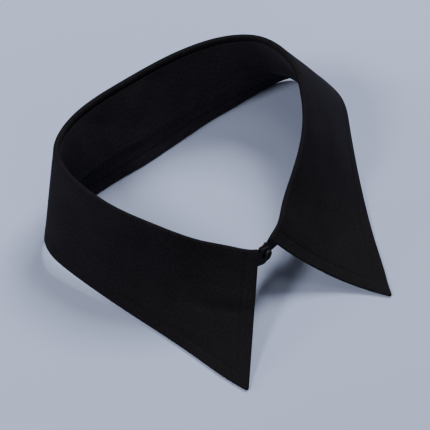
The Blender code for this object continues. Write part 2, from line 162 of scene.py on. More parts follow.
LOOP = {}
for name in ("fold_x", "fold_y", "fold_z", "drop", "out"):
    values = column(name)
    LOOP[name] = np.concatenate([values, [FRONT_MIDDLE[name] * MM], values[:1]])
LOOP_KNOTS = np.concatenate([[0.0], np.cumsum(np.hypot(np.diff(LOOP["fold_x"]), np.diff(LOOP["fold_y"])))])
LOOP_SLOPES = {name: spline_slopes(LOOP_KNOTS, values, True) for name, values in LOOP.items()}
NECK_LENGTH = LOOP_KNOTS[-1]
LEAF_END = LOOP_KNOTS[len(STATIONS) - 1]
MIDDLE = LOOP_KNOTS[len(STATIONS)]
HEM_KNOTS = LOOP_KNOTS[:len(STATIONS)]
HEM = {name: column(name) for name in ("hem_x", "hem_y", "hem_z", "bow")}
HEM_SLOPES = {name: spline_slopes(HEM_KNOTS, values, False) for name, values in HEM.items()}


def around(name, places):
    """A column of the neck line at places along it, the same after each full turn."""
    return spline(LOOP_KNOTS, LOOP[name], LOOP_SLOPES[name], np.mod(places, NECK_LENGTH))


def below(name, places):
    """A column of the leaf's free edge at places along the neck line."""
    return spline(HEM_KNOTS, HEM[name], HEM_SLOPES[name], places)


def outward(places):
    """Level directions that point away from the neck."""
    step = 0.2 * MM
    across = np.array([around("fold_x", places + step) - around("fold_x", places - step),
                       around("fold_y", places + step) - around("fold_y", places - step)])
    across = across / np.hypot(across[0], across[1])
    return np.column_stack([-across[1], across[0], np.zeros(len(across[0]))])


def unit(vectors):
    return vectors / np.linalg.norm(vectors, axis=-1)[..., None]


def dot(one, other):
    return np.sum(one * other, axis=-1)


def surface_normals(grid):
    """Unit normals of a grid of points, facing out of the collar."""
    return unit(np.cross(np.gradient(grid, axis=0), np.gradient(grid, axis=1)))


def smooth_step(share):
    share = np.clip(share, 0.0, 1.0)
    return share * share * (3.0 - 2.0 * share)


# Distances from an edge at which the cloth is divided, closest where it is rounded over.
EDGE_STEPS = np.array([0.0, 0.03, 0.11, 0.24, 0.4, 0.57, 0.85, 1.3]) * MM
AFTER_EDGE_STEPS = 1.75 * MM


def places_between(first, last, fine, fine_zone, coarse):
    """Places from first to last: very close at both ends, fine near them and coarse between."""
    near = np.arange(AFTER_EDGE_STEPS, fine_zone, fine)
    start = np.concatenate([EDGE_STEPS, near])
    count = int(round((last - first - 2.0 * fine_zone) / coarse))
    middle = np.linspace(first + fine_zone, last - fine_zone, count)
    return np.concatenate([first + start, middle, last - start[::-1]])


LEAF_PLACES = places_between(0.0, LEAF_END, 0.45 * MM, 15.0 * MM, 0.85 * MM)
SEAM_STEPS = np.array([1.9, 2.6, 3.4, 4.2, 4.9, 5.4, 5.8, 6.2, 6.6, 7.0, 7.6]) * MM
HEM_DISTANCES = np.concatenate([EDGE_STEPS, SEAM_STEPS])
LEG_DISTANCES = np.array([0.0, 0.03, 0.11, 0.24, 0.4, 0.57, 0.9]) * MM
STEPS_ROLL = 13
STEPS_OUTER_LEG = 34
STITCH_COLUMN_FROM_HEM = int(np.argmin(np.abs(HEM_DISTANCES - TOPSTITCH_IN)))
BEYOND_LEG = 9.0 * MM


def hem_rest(places):
    """Where the middle of the rounded hem lies, half a wall above and inside the hem's outermost line."""
    half = 0.5 * LEAF_THICKNESS
    hem = np.column_stack([below("hem_x", places), below("hem_y", places),
                           np.maximum(below("hem_z", places), 0.0)])
    step = 0.5 * MM
    ahead = np.clip(places + step, 0.0, LEAF_END)
    behind = np.clip(places - step, 0.0, LEAF_END)
    across = np.column_stack([below("hem_x", ahead) - below("hem_x", behind),
                              below("hem_y", ahead) - below("hem_y", behind)])
    across = unit(across)
    return hem + half * np.column_stack([across[:, 1], -across[:, 0], np.ones(len(places))])


def leaf_middle(places, rounding):
    """The middle of the leaf's cloth, and how far each point lies from the hem and from the inner edge."""
    out = outward(places)
    up = np.array([0.0, 0.0, 1.0])
    count = len(places)
    fold = np.column_stack([around("fold_x", places), around("fold_y", places), around("fold_z", places)])
    centre = fold - (ROLL_RADIUS + 0.5 * LEAF_THICKNESS) * up
    reach = hem_rest(places) - centre
    bow = below("bow", places)
    fall = np.arctan2(-reach[:, 2], dot(reach, out))
    distance = np.hypot(reach[:, 2], dot(reach, out))
    leave = 0.5 * pi - fall + np.arctan(4.0 * bow / distance) + np.arcsin(ROLL_RADIUS / distance)
    tilt = np.arctan2(np.maximum(-dot(reach, out), 0.0), -reach[:, 2])
    enter = pi - tilt
    down = -np.sin(tilt)[:, None] * out - np.cos(tilt)[:, None] * up
    turned = centre + ROLL_RADIUS * (np.cos(enter)[:, None] * out + np.sin(enter)[:, None] * up)
    leg = INNER_LEG - ROLL_RADIUS - 0.5 * LEAF_THICKNESS
    columns = [turned + (leg - distance) * down for distance in LEG_DISTANCES]
    from_leg = [np.full(count, distance) for distance in LEG_DISTANCES]
    for k in range(STEPS_ROLL):
        angle = (enter + (leave - enter) * k / (STEPS_ROLL - 1))[:, None]
        columns.append(centre + ROLL_RADIUS * (np.cos(angle) * out + np.sin(angle) * up))
        from_leg.append(leg + ROLL_RADIUS * (enter - leave) * k / (STEPS_ROLL - 1))
    start = columns[-1]
    run = centre + reach - start
    side = unit(np.cross(run, np.cross(out, up)))
    side = side * np.sign(dot(side, out + up))[:, None]
    near_end = np.minimum(places, LEAF_END - places)
    inside = np.clip(1.0 - near_end / POINT_ROUND, 0.0, 1.0)
    pull = rounding * POINT_ROUND * (1.0 - np.sqrt(1.0 - inside ** 2))
    ahead = np.cross(out, up)
    swell = (smooth_step(1.0 - (LEAF_END - places) / FRONT_SWELL_FADES)
             - smooth_step(1.0 - places / FRONT_SWELL_FADES)) * FRONT_SWELL
    forward = swell[:, None] * ahead
    length = np.linalg.norm(run, axis=1)
    length_kept = length + 0.5 * LEAF_THICKNESS - pull
    from_hem = [length_kept] * len(columns)
    body = (length_kept - HEM_DISTANCES[-1])[:, None] * np.linspace(0.0, 1.0, STEPS_OUTER_LEG)[None, 1:]
    gone = np.concatenate([body, length_kept[:, None] - HEM_DISTANCES[::-1][None, 1:]], axis=1)
    for k in range(gone.shape[1]):
        share = (gone[:, k] / length)[:, None]
        columns.append(start + share * run + 4.0 * share * (1.0 - share) * (bow[:, None] * side + forward))
        from_leg.append(np.full(count, BEYOND_LEG))
        from_hem.append(length_kept - gone[:, k])
    return np.stack(columns, axis=1), np.stack(from_hem, axis=1), np.stack(from_leg, axis=1)


def distance_from_row(grid, row):
    """How far each point of the grid lies from the straight run of one of its end rows."""
    edge = grid[row]
    along = unit(np.gradient(edge, axis=0))
    gap = grid - edge[None]
    return np.linalg.norm(gap - dot(gap, along[None])[..., None] * along[None], axis=2)


# Soft creases and swells pressed into the leaf by folding and handling, in millimetres.
# place: along the neck line from the wearer's right front edge. down: distance from the hem.
# Both are given at the two ends of each crease. depth: outward, and below zero for a trough.
CREASE_COLUMNS = ("place_a", "down_a", "place_b", "down_b", "width", "depth")
LEAF_CREASES = (
    (1.0, 39.5, 34.0, 20.0, 1.9, -0.55),
    (2.0, 44.5, 28.0, 31.0, 2.4, 0.50),
    (0.0, 37.0, 62.0, 17.0, 7.5, -0.75),
    (30.0, 33.0, 66.0, 27.0, 6.0, -0.30),
    (8.0, 16.0, 40.0, 8.0, 5.5, 0.28),
    (72.0, 26.0, 104.0, 34.0, 7.0, -0.28),
    (118.0, 20.0, 130.0, 36.0, 6.0, 0.32),
    (150.0, 12.0, 172.0, 30.0, 8.0, -0.25),
    (196.0, 30.0, 232.0, 22.0, 9.0, 0.30),
    (252.0, 28.0, 268.0, 12.0, 6.0, -0.32),
    (286.0, 33.0, 312.0, 24.0, 7.0, -0.32),
    (318.0, 43.0, 346.0, 36.0, 3.6, 0.42),
    (322.0, 34.0, 354.0, 26.0, 3.4, -0.55),
    (336.0, 18.0, 354.0, 14.0, 6.0, 0.28),
)


def crease_relief(along, down, creases):
    """Height of the soft creases at each point, fading out toward both ends of each."""
    relief = np.zeros(along.shape)
    for row in creases:
        crease = {name: value * MM for name, value in zip(CREASE_COLUMNS, row)}
        reach_x = crease["place_b"] - crease["place_a"]
        reach_y = crease["down_b"] - crease["down_a"]
        length = np.hypot(reach_x, reach_y)
        ahead = ((along - crease["place_a"]) * reach_x + (down - crease["down_a"]) * reach_y) / length
        aside = ((along - crease["place_a"]) * reach_y - (down - crease["down_a"]) * reach_x) / length
        share = np.clip(ahead / length, 0.0, 1.0)
        beyond = ahead - share * length
        fade = np.sin(pi * (0.12 + 0.76 * share)) * np.exp(-(beyond / (1.6 * crease["width"])) ** 2)
        relief += crease["depth"] * fade * np.exp(-(aside / crease["width"]) ** 2)
    return relief


WAVE_COUNT = 7


def slow_waves(along, down, seed, length, height):
    """Slight unevenness of hand-pressed cloth: a few crossing waves with set phases."""
    generator = np.random.default_rng(seed)
    total = np.zeros(along.shape)
    for k in range(WAVE_COUNT):
        turn = generator.uniform(0.0, pi)
        pitch = length * generator.uniform(0.6, 1.7)
        phase = generator.uniform(0.0, 2.0 * pi)
        total += np.sin(2.0 * pi * (along * cos(turn) + down * sin(turn)) / pitch + phase)
    return height * total / WAVE_COUNT ** 0.5


def half_thickness(edge_distance, thickness):
    """Half the wall, rounded over toward the edge."""
    half = 0.5 * thickness
    inside = np.clip(1.0 - edge_distance / half, 0.0, 1.0)
    return half * np.sqrt(1.0 - inside ** 2)


def skins_mesh(name, outer, inner, along, down):
    """One closed sheet from two skins that meet all round their edges, with its weave laid out flat."""
    count, across = outer.shape[:2]
    border = np.zeros((count, across), bool)
    border[[0, -1], :] = True
    border[:, [0, -1]] = True
    first = np.arange(count * across).reshape(count, across)
    second = np.where(border, first, 0)
    second[~border] = count * across + np.arange((~border).sum())
    points = np.concatenate([outer.reshape(-1, 3), inner[~border]])

    def faces_of(numbers, flip):
        ring = [numbers[:-1, :-1], numbers[1:, :-1], numbers[1:, 1:], numbers[:-1, 1:]]
        ring = ring[::-1] if flip else ring
        return np.stack(ring, axis=-1).reshape(-1, 4)

    faces = np.concatenate([faces_of(first, False), faces_of(second, True)])
    mesh = bpy.data.meshes.new(name)
    mesh.from_pydata(points.tolist(), [], faces.tolist())
    flat_place = np.concatenate([np.stack([along, down], axis=-1).reshape(-1, 2),
                                 np.stack([along, down], axis=-1)[~border]])
    layout = mesh.uv_layers.new(name="cloth")
    corner_vertex = np.zeros(len(mesh.loops), int)
    mesh.loops.foreach_get("vertex_index", corner_vertex)
    layout.data.foreach_set("uv", flat_place[corner_vertex].ravel())
    mesh.shade_smooth()
    mesh.validate()
    item = bpy.data.objects.new(name, mesh)
    bpy.context.scene.collection.objects.link(item)
    return item


leaf_grid, leaf_from_hem, leaf_from_leg = leaf_middle(LEAF_PLACES, 1.0)
leaf_from_front = np.minimum(distance_from_row(leaf_grid, 0), distance_from_row(leaf_grid, -1))
leaf_along = np.repeat(LEAF_PLACES[:, None], leaf_grid.shape[1], axis=1)
leaf_edge = np.minimum(np.minimum(leaf_from_hem, leaf_from_leg), leaf_from_front)
sewn_edge = np.minimum(leaf_from_hem, leaf_from_front)
past_roll = np.arange(leaf_grid.shape[1]) - (len(LEG_DISTANCES) + STEPS_ROLL - 1)
hanging = smooth_step(past_roll / CREASE_FADE_AT_ROLL)[None]
leaf_relief = hanging * smooth_step(leaf_from_hem / CREASE_FADE_AT_HEM) * (
    crease_relief(leaf_along, leaf_from_hem, LEAF_CREASES)
    + slow_waves(leaf_along, leaf_from_hem, **LEAF_WAVES))
square_grid = leaf_middle(LEAF_PLACES, 0.0)[0]
leaf_normal = surface_normals(square_grid)
leaf_grid = leaf_grid + leaf_relief[..., None] * leaf_normal
leaf_normal = surface_normals(square_grid + leaf_relief[..., None] * leaf_normal)
beside_edge = np.where(leaf_from_hem < leaf_from_front, leaf_along, leaf_from_hem)
stitch_wave = np.cos(2.0 * pi * beside_edge / STITCH_LENGTH)
channel = np.exp(-((sewn_edge - TOPSTITCH_IN) / CHANNEL_WIDTH) ** 2) * (past_roll > 0)
allowance = smooth_step(sewn_edge / (1.2 * MM)) * smooth_step((TOPSTITCH_IN - sewn_edge) / (1.6 * MM))
leaf_half = half_thickness(leaf_edge, LEAF_THICKNESS)
leaf_half = leaf_half + SEAM_ALLOWANCE_RISE * allowance * (past_roll > 0)
leaf_half = leaf_half - CHANNEL_DEPTH * channel * (1.0 + STITCH_CHANNEL_WAVE * stitch_wave)
leaf_outer = leaf_grid + leaf_half[..., None] * leaf_normal
leaf_inner = leaf_grid - leaf_half[..., None] * leaf_normal

# The frame keeps the middle of the whole garment over its origin, this far from the neck line's own zero.
SHIFT = np.array([-0.488, -1.397, 0.0]) * MM
leaf = skins_mesh("leaf_cloth", leaf_outer + SHIFT, leaf_inner + SHIFT, leaf_along, leaf_from_hem)


def group_socket(group, name, kind, direction, default=None):
    socket = group.interface.new_socket(name=name, in_out=direction, socket_type=kind)
    if default is not None:
        socket.default_value = default
    return socket


def node(tree, kind, **values):
    made = tree.nodes.new(kind)
    for key, value in values.items():
        setattr(made, key, value)
    return made


def math_node(tree, operation, one, other=None):
    made = node(tree, "ShaderNodeMath", operation=operation)
    for socket, value in zip(made.inputs, (one, other)):
        if value is None:
            continue
        if isinstance(value, (int, float)):
            socket.default_value = value
        else:
            tree.links.new(value, socket)
    return made.outputs[0]


YARNS_PER_METRE = 2600.0


def build_shirting():
    """Plain-woven shirting: a fine over-and-under of round yarns, uneven yarns and soft mottling."""
    group = bpy.data.node_groups.new("plain_weave", "ShaderNodeTree")
    group_socket(group, "Yarns per metre", "NodeSocketFloat", "INPUT", YARNS_PER_METRE)
    group_socket(group, "Dark", "NodeSocketColor", "INPUT", (0.01, 0.01, 0.012, 1.0))
    group_socket(group, "Light", "NodeSocketColor", "INPUT", (0.03, 0.03, 0.034, 1.0))
    group_socket(group, "Color", "NodeSocketColor", "OUTPUT")
    group_socket(group, "Roughness", "NodeSocketFloat", "OUTPUT")
    group_socket(group, "Height", "NodeSocketFloat", "OUTPUT")
    given = node(group, "NodeGroupInput")
    result = node(group, "NodeGroupOutput")
    flat = node(group, "ShaderNodeUVMap", uv_map="cloth")
    apart = node(group, "ShaderNodeSeparateXYZ")
    group.links.new(flat.outputs["UV"], apart.inputs[0])
    waves = []
    for axis in ("X", "Y"):
        turns = math_node(group, "MULTIPLY", apart.outputs[axis], given.outputs["Yarns per metre"])
        waves.append(math_node(group, "SINE", math_node(group, "MULTIPLY", turns, 2.0 * pi)))
    over = math_node(group, "MULTIPLY", waves[0], waves[1])
    slub = node(group, "ShaderNodeTexNoise", noise_dimensions="3D")
    slub.inputs["Scale"].default_value = 1300.0
    slub.inputs["Detail"].default_value = 3.0
    stretched = node(group, "ShaderNodeMapping")
    stretched.inputs["Scale"].default_value = (1.0, 0.6, 1.0)
    group.links.new(flat.outputs["UV"], stretched.inputs["Vector"])
    group.links.new(stretched.outputs["Vector"], slub.inputs["Vector"])
    mottle = node(group, "ShaderNodeTexNoise", noise_dimensions="3D")
    mottle.inputs["Scale"].default_value = 70.0
    mottle.inputs["Detail"].default_value = 4.0
    group.links.new(flat.outputs["UV"], mottle.inputs["Vector"])
    height = math_node(group, "ADD", math_node(group, "MULTIPLY", over, 0.5),
                       math_node(group, "MULTIPLY", slub.outputs["Fac"], 1.2))
    tone = math_node(group, "ADD", math_node(group, "MULTIPLY", slub.outputs["Fac"], 1.6),
                     math_node(group, "MULTIPLY", mottle.outputs["Fac"], 0.5))
    tone = math_node(group, "ADD", tone, math_node(group, "MULTIPLY", over, 0.08))
    blend = node(group, "ShaderNodeMix", data_type="RGBA")
    group.links.new(math_node(group, "SUBTRACT", tone, 0.55), blend.inputs["Factor"])
    group.links.new(given.outputs["Dark"], blend.inputs["A"])
    group.links.new(given.outputs["Light"], blend.inputs["B"])
    group.links.new(blend.outputs["Result"], result.inputs["Color"])
    rough = math_node(group, "ADD", 0.72, math_node(group, "MULTIPLY", slub.outputs["Fac"], 0.2))
    group.links.new(rough, result.inputs["Roughness"])
    group.links.new(height, result.inputs["Height"])
    return group


SHIRTING = build_shirting()


def cotton_material(name, dark, light, sheen):
    """Black cotton with a soft nap: the weave group drives its colour, roughness and bump."""
    material = bpy.data.materials.new(name)
    material.use_nodes = True
    tree = material.node_tree
    shader = tree.nodes["Principled BSDF"]
    weave = node(tree, "ShaderNodeGroup", node_tree=SHIRTING)
    weave.inputs["Yarns per metre"].default_value = YARNS_PER_METRE
    weave.inputs["Dark"].default_value = (*dark, 1.0)
    weave.inputs["Light"].default_value = (*light, 1.0)
    bump = node(tree, "ShaderNodeBump")
    bump.inputs["Strength"].default_value = 0.35
    bump.inputs["Distance"].default_value = 0.00012
    tree.links.new(weave.outputs["Color"], shader.inputs["Base Color"])
    tree.links.new(weave.outputs["Roughness"], shader.inputs["Roughness"])
    tree.links.new(weave.outputs["Height"], bump.inputs["Height"])
    tree.links.new(bump.outputs["Normal"], shader.inputs["Normal"])
    shader.inputs["Specular IOR Level"].default_value = 0.08
    shader.inputs["Sheen Weight"].default_value = sheen
    shader.inputs["Sheen Roughness"].default_value = 0.45
    shader.inputs["Sheen Tint"].default_value = (0.75, 0.78, 0.95, 1.0)
    return material


LEAF_COTTON = cotton_material("leaf_cotton", (0.0028, 0.0025, 0.0032), (0.0160, 0.0140, 0.0182), 0.006)
leaf.data.materials.append(LEAF_COTTON)

# Painted light inside the back of the neck: the leaf's inner face below the band's lower edge gets a paler
# copy of its cloth.
FACING_NECK = 0.2
PAINTED_LIGHT_TOP = 20.0 * MM
UNDERSIDE_COTTON_PAINTED_LIGHT = cotton_material(
    "underside_cotton_painted_light", (0.0108, 0.0094, 0.0118), (0.0460, 0.0402, 0.0500), 0.012)
leaf.data.materials.append(UNDERSIDE_COTTON_PAINTED_LIGHT)
neck_middle = np.array([LOOP["fold_x"].mean(), LOOP["fold_y"].mean()]) + SHIFT[:2]
for face in leaf.data.polygons:
    toward_neck = neck_middle - np.array(face.center[:2])
    facing_neck = np.dot(face.normal[:2], toward_neck) / np.hypot(*toward_neck)
    if facing_neck > FACING_NECK and face.center[2] < PAINTED_LIGHT_TOP:
        face.material_index = 1
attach(leaf, "root")
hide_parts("leaf")

# Topstitching of the leaf: black polyester thread in a row of short stitches inside its front and lower
# edges. Each stitch shows on the outside and again on the underside, half sunk in its own channel.
THREAD_RADIUS = 0.13 * MM
STITCH_GAP_SHARE = 0.16
STITCH_SIDES = 6
STITCH_RINGS = 5
NEAR_FRONT = 40.0 * MM


def grid_points(grid, rows, columns):
    """Points of a grid at places between its lines."""
    i = np.clip(rows.astype(int), 0, grid.shape[0] - 2)
    j = np.clip(columns.astype(int), 0, grid.shape[1] - 2)
    u = (rows - i)[:, None]
    v = (columns - j)[:, None]
    return ((grid[i, j] * (1 - u) + grid[i + 1, j] * u) * (1 - v)
            + (grid[i, j + 1] * (1 - u) + grid[i + 1, j + 1] * u) * v)


def even_steps(path, step):
    """Places along a path of points, as numbers between its points, at even distances."""
    travelled = np.concatenate([[0.0], np.cumsum(np.linalg.norm(np.diff(path, axis=0), axis=1))])
    count = int(round(travelled[-1] / step))
    return np.interp(np.linspace(0.0, travelled[-1], count + 1), travelled, np.arange(len(path)))


def add_stitches(mesh, path, lift, radius, step):
    """Rows of short rounded threads along a path, each bowed up a little between its needle holes."""
    marks = even_steps(path, step)
    numbers = np.arange(len(path))
    for a, b in zip(marks[:-1], marks[1:]):
        gap = STITCH_GAP_SHARE * (b - a)
        shares = np.linspace(a + 0.5 * gap, b - 0.5 * gap, STITCH_RINGS)
        middle = np.column_stack([np.interp(shares, numbers, path[:, k]) for k in range(3)])
        up = unit(np.column_stack([np.interp(shares, numbers, lift[:, k]) for k in range(3)]))
        along = unit(middle[-1] - middle[0])
        aside = unit(np.cross(along, up))
        swell = np.sin(pi * np.linspace(0.1, 0.9, STITCH_RINGS))
        rings = []
        for k in range(STITCH_RINGS):
            size = radius * (0.45 + 0.55 * swell[k])
            centre = middle[k] + up[k] * radius * (0.55 * swell[k] - 0.25)
            ring = []
            for m in range(STITCH_SIDES):
                turn = 2.0 * pi * m / STITCH_SIDES
                ring.append(mesh.verts.new(centre + size * (cos(turn) * aside[k] + sin(turn) * up[k])))
            rings.append(ring)
        for below_ring, above_ring in zip(rings, rings[1:]):
            for m in range(STITCH_SIDES):
                n = (m + 1) % STITCH_SIDES
                mesh.faces.new((below_ring[m], above_ring[m], above_ring[n], below_ring[n]))
        mesh.faces.new(rings[0])
        mesh.faces.new(rings[-1][::-1])


def mesh_object(name, mesh):
    bmesh.ops.recalc_face_normals(mesh, faces=mesh.faces)
    data = bpy.data.meshes.new(name)
    mesh.to_mesh(data)
    mesh.free()
    data.shade_smooth()
    item = bpy.data.objects.new(name, data)
    bpy.context.scene.collection.objects.link(item)
    return item


def stitch_line():
    """Rows and columns of the leaf's grid that the topstitching follows, from one fold to the other."""
    stitch_column = leaf_grid.shape[1] - 1 - STITCH_COLUMN_FROM_HEM
    first_column = len(LEG_DISTANCES) + STEPS_ROLL - 4
    columns = np.arange(first_column, stitch_column + 1)
    near = np.nonzero(LEAF_PLACES < NEAR_FRONT)[0]
    far = np.nonzero(LEAF_PLACES > LEAF_END - NEAR_FRONT)[0][::-1]
    from_start = distance_from_row(leaf_grid, 0)
    from_end = distance_from_row(leaf_grid, -1)
    start_rows = np.array([np.interp(TOPSTITCH_IN, from_start[near, j], near) for j in columns])
    end_rows = np.array([np.interp(TOPSTITCH_IN, from_end[far, j], far) for j in columns])
    hem_rows = np.arange(np.ceil(start_rows[-1]), np.floor(end_rows[-1]) + 1.0)
    rows = np.concatenate([start_rows, hem_rows, end_rows[::-1]])
    across = np.concatenate([columns, np.full(len(hem_rows), stitch_column), columns[::-1]]).astype(float)
    return rows, across


stitch_rows, stitch_columns = stitch_line()
thread_mesh = bmesh.new()
for skin, facing in ((leaf_outer, 1.0), (leaf_inner, -1.0)):
    path = grid_points(skin + SHIFT, stitch_rows, stitch_columns)
    lift = facing * grid_points(leaf_normal, stitch_rows, stitch_columns)
    add_stitches(thread_mesh, path, lift, THREAD_RADIUS, STITCH_LENGTH)
leaf_thread = mesh_object("leaf_topstitching", thread_mesh)


def thread_material(name, colour):
    """Twisted sewing thread: slightly glossier than the cloth, with the slant of its twist."""
    material = bpy.data.materials.new(name)
    material.use_nodes = True
    tree = material.node_tree
    shader = tree.nodes["Principled BSDF"]
    twist = node(tree, "ShaderNodeTexWave", wave_type="BANDS", bands_direction="DIAGONAL")
    twist.inputs["Scale"].default_value = 1400.0
    place = node(tree, "ShaderNodeTexCoord")
    tree.links.new(place.outputs["Object"], twist.inputs["Vector"])
    blend = node(tree, "ShaderNodeMix", data_type="RGBA")
    blend.inputs["A"].default_value = (*(0.6 * value for value in colour), 1.0)
    blend.inputs["B"].default_value = (*(1.3 * value for value in colour), 1.0)
    tree.links.new(twist.outputs["Fac"], blend.inputs["Factor"])
    tree.links.new(blend.outputs["Result"], shader.inputs["Base Color"])
    shader.inputs["Roughness"].default_value = 0.6
    shader.inputs["Specular IOR Level"].default_value = 0.12
    return material


THREAD = thread_material("black_thread", (0.006, 0.006, 0.007))
leaf_thread.data.materials.append(THREAD)
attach(leaf_thread, "root")

# Band: the low stand inside the leaf, two layers of the same shirting, sewn to the leaf under its turned
# top. Its rounded ends lap in front, the wearer's right one outside, and its lower edge hangs free.
BAND_THICKNESS = 1.1 * MM
SEAM_GAP = 0.3 * MM
TAB_ROUND = 6.0 * MM
TAB_SHORT_OF_LEAF = 1.2 * MM
TAB_UNDER_LEAF = 9.0 * MM
LAP_SETTLE = 16.0 * MM
TAB_RISE = 2.4 * MM
TAB_RISE_START = 0.6 * MM
TAB_RISE_RUN = 1.8 * MM
BAND_BELOW_LEG = 0.12 * MM
BAND_CLEARANCE = 1.0 * MM
BAND_SOFTNESS = 2.0 * MM
FAR_OUT = 40.0 * MM
EDGE_STITCH_IN = 1.6 * MM
EDGE_CHANNEL_WIDTH = 0.5 * MM
EDGE_CHANNEL_DEPTH = 0.12 * MM
BAND_STEPS = 17
BAND_FADE_AT_SEAM = 4.0 * MM
BAND_FADE_AT_ENDS = 14.0 * MM
BAND_WAVES = {"seed": 9, "length": 26.0 * MM, "height": 0.12 * MM}
FIRST_TAB = LEAF_END + TAB_SHORT_OF_LEAF
LAST_TAB = 2.0 * NECK_LENGTH + TAB_UNDER_LEAF

outline_places = np.linspace(0.0, LEAF_END, 600)
outline_fold = np.column_stack([around("fold_x", outline_places), around("fold_y", outline_places),
                                around("fold_z", outline_places) - ROLL_RADIUS - 0.5 * LEAF_THICKNESS])
outline_hem = np.column_stack([below("hem_x", outline_places), below("hem_y", outline_places),
                               np.maximum(below("hem_z", outline_places), 0.0)])


def leaf_beside(fold, out, height):
    """How far outside the neck line the leaf hangs at one height, measured straight out from one place."""
    share = np.clip((outline_fold[:, 2] - height) / (outline_fold[:, 2] - outline_hem[:, 2]), 0.0, 1.0)
    gap = (outline_fold + share[:, None] * (outline_hem - outline_fold) - fold)[:, :2]
    along = gap[:, 0] * out[1] - gap[:, 1] * out[0]
    across = gap @ out[:2]
    crossing = np.nonzero(along[:-1] * along[1:] <= 0.0)[0]
    part = along[crossing] / (along[crossing] - along[crossing + 1] + 1e-12)
    distance = across[crossing] + part * (across[crossing + 1] - across[crossing])
    distance = distance[np.abs(distance) < FAR_OUT]
    return distance.min() if len(distance) else FAR_OUT


def softer_of(one, other, width):
    """The smaller of two values, with the change from one to the other rounded over."""
    return 0.5 * (one + other - np.sqrt((one - other) ** 2 + width ** 2))


BAND_SHARES_FROM_EDGE = np.array([0.0, 0.03, 0.11, 0.24, 0.4, 0.57, 0.85, 1.2, 1.6, 2.0, 2.6]) * MM


def band_middle(places, steps):
    """The middle of the band's cloth, and how far each point lies from its upper and lower edges."""
    out = outward(places)
    up = np.array([0.0, 0.0, 1.0])
    fold = np.column_stack([around("fold_x", places), around("fold_y", places), around("fold_z", places)])
    apart = 0.5 * (BAND_THICKNESS + SEAM_GAP)
    from_start = places - FIRST_TAB
    from_end = LAST_TAB - places
    lap = LAST_TAB - NECK_LENGTH - FIRST_TAB
    ease_start = 1.0 - smooth_step((from_start - lap) / LAP_SETTLE)
    ease_end = 1.0 - smooth_step((from_end - lap) / LAP_SETTLE)
    aside = apart * (ease_start - ease_end)
    top = fold[:, 2] - INNER_LEG - BAND_BELOW_LEG
    bottom = top - around("drop", places)
    widest = around("out", places)
    round_neck = np.mod(places, NECK_LENGTH)
    past_leaf = np.minimum(round_neck - LEAF_END, NECK_LENGTH - round_neck)
    top = top + TAB_RISE * smooth_step((past_leaf - TAB_RISE_START) / TAB_RISE_RUN)
    inside = np.clip(1.0 - np.minimum(from_start, from_end) / TAB_ROUND, 0.0, 1.0)
    keep = np.sqrt(np.clip(1.0 - inside ** 2, 0.02, 1.0))
    middle_height = 0.5 * (top + bottom)
    height_kept = (top - bottom) * keep
    inner_steps = np.linspace(0.0, 1.0, steps + 2)[1:-1]
    rows = []
    from_top = []
    for i in range(len(places)):
        base = fold[i] * (1.0, 1.0, 0.0) + (aside[i] - ROLL_RADIUS) * out[i]
        tall = height_kept[i]
        zone = min(BAND_SHARES_FROM_EDGE[-1], 0.3 * tall) / BAND_SHARES_FROM_EDGE[-1]
        edge = BAND_SHARES_FROM_EDGE * zone
        fallen = np.concatenate([edge, edge[-1] + (tall - 2.0 * edge[-1]) * inner_steps, tall - edge[::-1]])
        row = []
        for distance in fallen:
            height = middle_height[i] + 0.5 * tall - distance
            share = (top[i] - height) / (top[i] - bottom[i])
            beside = leaf_beside(fold[i], out[i], height)
            lean = softer_of(widest[i] * share, beside - BAND_CLEARANCE * share, BAND_SOFTNESS * share)
            row.append(base + lean * out[i] + height * up)
        rows.append(row)
        from_top.append(fallen)
    from_top = np.array(from_top)
    return np.array(rows), from_top, from_top[:, -1:] - from_top


# The band is divided more closely where its upper edge rises beside the leaf's front edges.
leaf_ends = ((NECK_LENGTH, -1.0), (NECK_LENGTH + LEAF_END, 1.0), (2.0 * NECK_LENGTH, -1.0))
rises = [leaf_end + sign * (TAB_RISE_START + share * TAB_RISE_RUN)
         for leaf_end, sign in leaf_ends for share in (0.0, 0.2, 0.4, 0.6, 0.8, 1.0)]
even_places = places_between(FIRST_TAB, LAST_TAB, 0.5 * MM, 9.0 * MM, 0.95 * MM)
BAND_PLACES = np.sort(np.append(even_places, rises))
band_grid, band_from_top, band_from_low = band_middle(BAND_PLACES, BAND_STEPS)
band_from_ends = np.minimum(distance_from_row(band_grid, 0), distance_from_row(band_grid, -1))
band_along = np.repeat(BAND_PLACES[:, None], band_grid.shape[1], axis=1)
band_edge = np.minimum(np.minimum(band_from_top, band_from_low), band_from_ends)

# Soft swells of the band, with the same columns as the leaf's creases, here with depth toward the neck.
# Places count on from the leaf's front edge once round the neck.
BAND_CREASES = (
    (430.0, 9.0, 446.0, 17.0, 5.0, -0.5),
    (454.0, 16.0, 462.0, 6.0, 5.0, 0.4),
    (478.0, 17.0, 494.0, 20.0, 4.5, -0.5),
    (498.0, 10.0, 512.0, 17.0, 4.5, 0.45),
    (517.0, 21.0, 531.0, 14.0, 4.5, -0.75),
    (540.0, 12.0, 550.0, 28.0, 4.8, 0.85),
    (556.0, 26.0, 567.0, 20.0, 3.4, -0.6),
    (560.0, 11.0, 582.0, 15.0, 5.0, 0.4),
    (596.0, 18.0, 618.0, 11.0, 6.0, -0.4),
    (650.0, 12.0, 676.0, 9.0, 6.0, 0.3),
)
band_free = smooth_step(band_from_top / BAND_FADE_AT_SEAM) * smooth_step(band_from_ends / BAND_FADE_AT_ENDS)
band_relief = -band_free * (crease_relief(band_along, band_from_low, BAND_CREASES)
                            + slow_waves(band_along, band_from_low, **BAND_WAVES))
band_normal = surface_normals(band_grid)
band_grid = band_grid + band_relief[..., None] * band_normal
band_normal = surface_normals(band_grid)
band_half = half_thickness(band_edge, BAND_THICKNESS)
